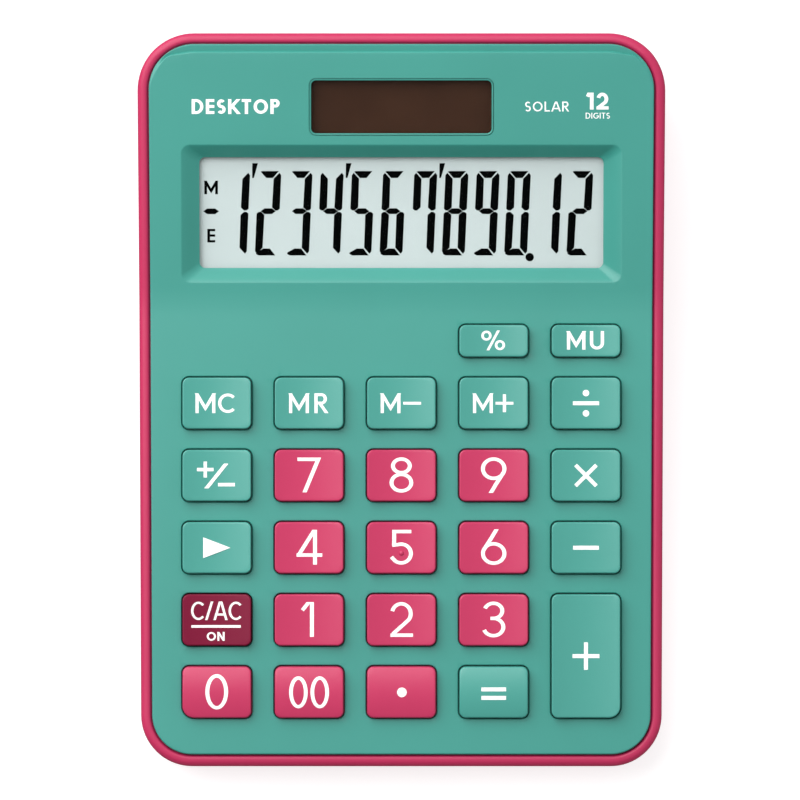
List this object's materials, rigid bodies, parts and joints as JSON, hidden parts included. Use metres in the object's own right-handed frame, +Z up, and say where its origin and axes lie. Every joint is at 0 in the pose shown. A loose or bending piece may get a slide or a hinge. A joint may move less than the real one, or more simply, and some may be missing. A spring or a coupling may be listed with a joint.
{
  "type": "desk calculator",
  "caption": "Wedge-shaped solar desk calculator with sprung keys, a recessed segment display, a solar cell and a two-part moulded case.",
  "frame": {"origin": "on the surface that the rubber feet stand on, under the middle of the body's length and width", "axes": "+X to the right, +Y from the front edge to the display end, +Z up"},
  "size_m": [0.1064, 0.147, 0.029],
  "materials": {
    "case_top_plastic": "satin moulded ABS, fine spark texture",
    "case_bottom_plastic": "satin moulded ABS, fine spark texture",
    "key_teal_plastic": "satin moulded ABS",
    "key_pink_plastic": "satin moulded ABS",
    "key_crimson_plastic": "satin moulded ABS",
    "window_acrylic": "clear polished acrylic",
    "solar_cell": "dark brown amorphous cell behind glass",
    "foam": "closed-cell foam",
    "lcd_glass": "clear",
    "lcd_reflector": "satin film",
    "holder_plastic": "natural moulded plastic",
    "ribbon_film": "thin polyester film",
    "silicone": "translucent silicone",
    "board_laminate": "solder mask on laminate",
    "carbon_print": "printed carbon",
    "epoxy": "cured epoxy drop",
    "capacitor_sleeve": "shrink sleeve",
    "resistor_body": "ceramic chip",
    "battery_steel": "bright",
    "contact_steel": "plated spring strip",
    "screw_steel": "zinc plated",
    "label_foil": "matt foil, blank",
    "foot_rubber": "matt",
    "wire_red": "wire insulation",
    "wire_black": "wire insulation"
  },
  "bodies": {
    "case": {"top_case": "case_top_plastic", "bottom_case": "case_bottom_plastic", "display_window": "window_acrylic", "solar_window": "window_acrylic", "solar_panel": "solar_cell", "solar_cushion": "foam", "lcd_front_glass": "lcd_glass", "lcd_rear_glass": "lcd_glass", "lcd_reflector": "lcd_reflector", "lcd_holder": "holder_plastic", "lcd_ribbon_cable": "ribbon_film", "rubber_keypad": "silicone", "circuit_board": "board_laminate", "contact_pads": "carbon_print", "chip_cover": "epoxy", "capacitor": "capacitor_sleeve", "resistors": "resistor_body", "battery": "battery_steel", "battery_contact_positive": "contact_steel", "battery_contact_negative": "contact_steel", "case_screws": "screw_steel", "board_screws": "screw_steel", "rating_label": "label_foil", "foot_front_left": "foot_rubber", "foot_front_right": "foot_rubber", "foot_rear_left": "foot_rubber", "foot_rear_right": "foot_rubber", "solar_wire_left": "wire_red", "solar_wire_right": "wire_black", "battery_wire_positive": "wire_red", "battery_wire_negative": "wire_black"},
    "key_percent": {"key_percent": "key_teal_plastic"},
    "key_mark_up": {"key_mark_up": "key_teal_plastic"},
    "key_memory_clear": {"key_memory_clear": "key_teal_plastic"},
    "key_memory_recall": {"key_memory_recall": "key_teal_plastic"},
    "key_memory_minus": {"key_memory_minus": "key_teal_plastic"},
    "key_memory_plus": {"key_memory_plus": "key_teal_plastic"},
    "key_divide": {"key_divide": "key_teal_plastic"},
    "key_sign_change": {"key_sign_change": "key_teal_plastic"},
    "key_7": {"key_7": "key_pink_plastic"},
    "key_8": {"key_8": "key_pink_plastic"},
    "key_9": {"key_9": "key_pink_plastic"},
    "key_multiply": {"key_multiply": "key_teal_plastic"},
    "key_backspace": {"key_backspace": "key_teal_plastic"},
    "key_4": {"key_4": "key_pink_plastic"},
    "key_5": {"key_5": "key_pink_plastic"},
    "key_6": {"key_6": "key_pink_plastic"},
    "key_minus": {"key_minus": "key_teal_plastic"},
    "key_clear": {"key_clear": "key_crimson_plastic"},
    "key_1": {"key_1": "key_pink_plastic"},
    "key_2": {"key_2": "key_pink_plastic"},
    "key_3": {"key_3": "key_pink_plastic"},
    "key_plus": {"key_plus": "key_teal_plastic"},
    "key_0": {"key_0": "key_pink_plastic"},
    "key_00": {"key_00": "key_pink_plastic"},
    "key_point": {"key_point": "key_pink_plastic"},
    "key_equals": {"key_equals": "key_teal_plastic"}
  },
  "joints": [
    {"name": "key_percent_press", "type": "slide", "parent": "case", "child": "key_percent", "axis": [0, 0.0872, -0.9962], "range_m": [0, 0.0015], "stiffness_N_per_m": 400, "deforming": ["rubber_keypad"]},
    {"name": "key_mark_up_press", "type": "slide", "parent": "case", "child": "key_mark_up", "axis": [0, 0.0872, -0.9962], "range_m": [0, 0.0015], "stiffness_N_per_m": 400, "deforming": ["rubber_keypad"]},
    {"name": "key_memory_clear_press", "type": "slide", "parent": "case", "child": "key_memory_clear", "axis": [0, 0.0872, -0.9962], "range_m": [0, 0.0015], "stiffness_N_per_m": 400, "deforming": ["rubber_keypad"]},
    {"name": "key_memory_recall_press", "type": "slide", "parent": "case", "child": "key_memory_recall", "axis": [0, 0.0872, -0.9962], "range_m": [0, 0.0015], "stiffness_N_per_m": 400, "deforming": ["rubber_keypad"]},
    {"name": "key_memory_minus_press", "type": "slide", "parent": "case", "child": "key_memory_minus", "axis": [0, 0.0872, -0.9962], "range_m": [0, 0.0015], "stiffness_N_per_m": 400, "deforming": ["rubber_keypad"]},
    {"name": "key_memory_plus_press", "type": "slide", "parent": "case", "child": "key_memory_plus", "axis": [0, 0.0872, -0.9962], "range_m": [0, 0.0015], "stiffness_N_per_m": 400, "deforming": ["rubber_keypad"]},
    {"name": "key_divide_press", "type": "slide", "parent": "case", "child": "key_divide", "axis": [0, 0.0872, -0.9962], "range_m": [0, 0.0015], "stiffness_N_per_m": 400, "deforming": ["rubber_keypad"]},
    {"name": "key_sign_change_press", "type": "slide", "parent": "case", "child": "key_sign_change", "axis": [0, 0.0872, -0.9962], "range_m": [0, 0.0015], "stiffness_N_per_m": 400, "deforming": ["rubber_keypad"]},
    {"name": "key_7_press", "type": "slide", "parent": "case", "child": "key_7", "axis": [0, 0.0872, -0.9962], "range_m": [0, 0.0015], "stiffness_N_per_m": 400, "deforming": ["rubber_keypad"]},
    {"name": "key_8_press", "type": "slide", "parent": "case", "child": "key_8", "axis": [0, 0.0872, -0.9962], "range_m": [0, 0.0015], "stiffness_N_per_m": 400, "deforming": ["rubber_keypad"]},
    {"name": "key_9_press", "type": "slide", "parent": "case", "child": "key_9", "axis": [0, 0.0872, -0.9962], "range_m": [0, 0.0015], "stiffness_N_per_m": 400, "deforming": ["rubber_keypad"]},
    {"name": "key_multiply_press", "type": "slide", "parent": "case", "child": "key_multiply", "axis": [0, 0.0872, -0.9962], "range_m": [0, 0.0015], "stiffness_N_per_m": 400, "deforming": ["rubber_keypad"]},
    {"name": "key_backspace_press", "type": "slide", "parent": "case", "child": "key_backspace", "axis": [0, 0.0872, -0.9962], "range_m": [0, 0.0015], "stiffness_N_per_m": 400, "deforming": ["rubber_keypad"]},
    {"name": "key_4_press", "type": "slide", "parent": "case", "child": "key_4", "axis": [0, 0.0872, -0.9962], "range_m": [0, 0.0015], "stiffness_N_per_m": 400, "deforming": ["rubber_keypad"]},
    {"name": "key_5_press", "type": "slide", "parent": "case", "child": "key_5", "axis": [0, 0.0872, -0.9962], "range_m": [0, 0.0015], "stiffness_N_per_m": 400, "deforming": ["rubber_keypad"]},
    {"name": "key_6_press", "type": "slide", "parent": "case", "child": "key_6", "axis": [0, 0.0872, -0.9962], "range_m": [0, 0.0015], "stiffness_N_per_m": 400, "deforming": ["rubber_keypad"]},
    {"name": "key_minus_press", "type": "slide", "parent": "case", "child": "key_minus", "axis": [0, 0.0872, -0.9962], "range_m": [0, 0.0015], "stiffness_N_per_m": 400, "deforming": ["rubber_keypad"]},
    {"name": "key_clear_press", "type": "slide", "parent": "case", "child": "key_clear", "axis": [0, 0.0872, -0.9962], "range_m": [0, 0.0015], "stiffness_N_per_m": 400, "deforming": ["rubber_keypad"]},
    {"name": "key_1_press", "type": "slide", "parent": "case", "child": "key_1", "axis": [0, 0.0872, -0.9962], "range_m": [0, 0.0015], "stiffness_N_per_m": 400, "deforming": ["rubber_keypad"]},
    {"name": "key_2_press", "type": "slide", "parent": "case", "child": "key_2", "axis": [0, 0.0872, -0.9962], "range_m": [0, 0.0015], "stiffness_N_per_m": 400, "deforming": ["rubber_keypad"]},
    {"name": "key_3_press", "type": "slide", "parent": "case", "child": "key_3", "axis": [0, 0.0872, -0.9962], "range_m": [0, 0.0015], "stiffness_N_per_m": 400, "deforming": ["rubber_keypad"]},
    {"name": "key_plus_press", "type": "slide", "parent": "case", "child": "key_plus", "axis": [0, 0.0872, -0.9962], "range_m": [0, 0.0015], "stiffness_N_per_m": 400, "deforming": ["rubber_keypad"]},
    {"name": "key_0_press", "type": "slide", "parent": "case", "child": "key_0", "axis": [0, 0.0872, -0.9962], "range_m": [0, 0.0015], "stiffness_N_per_m": 400, "deforming": ["rubber_keypad"]},
    {"name": "key_00_press", "type": "slide", "parent": "case", "child": "key_00", "axis": [0, 0.0872, -0.9962], "range_m": [0, 0.0015], "stiffness_N_per_m": 400, "deforming": ["rubber_keypad"]},
    {"name": "key_point_press", "type": "slide", "parent": "case", "child": "key_point", "axis": [0, 0.0872, -0.9962], "range_m": [0, 0.0015], "stiffness_N_per_m": 400, "deforming": ["rubber_keypad"]},
    {"name": "key_equals_press", "type": "slide", "parent": "case", "child": "key_equals", "axis": [0, 0.0872, -0.9962], "range_m": [0, 0.0015], "stiffness_N_per_m": 400, "deforming": ["rubber_keypad"]}
  ]
}
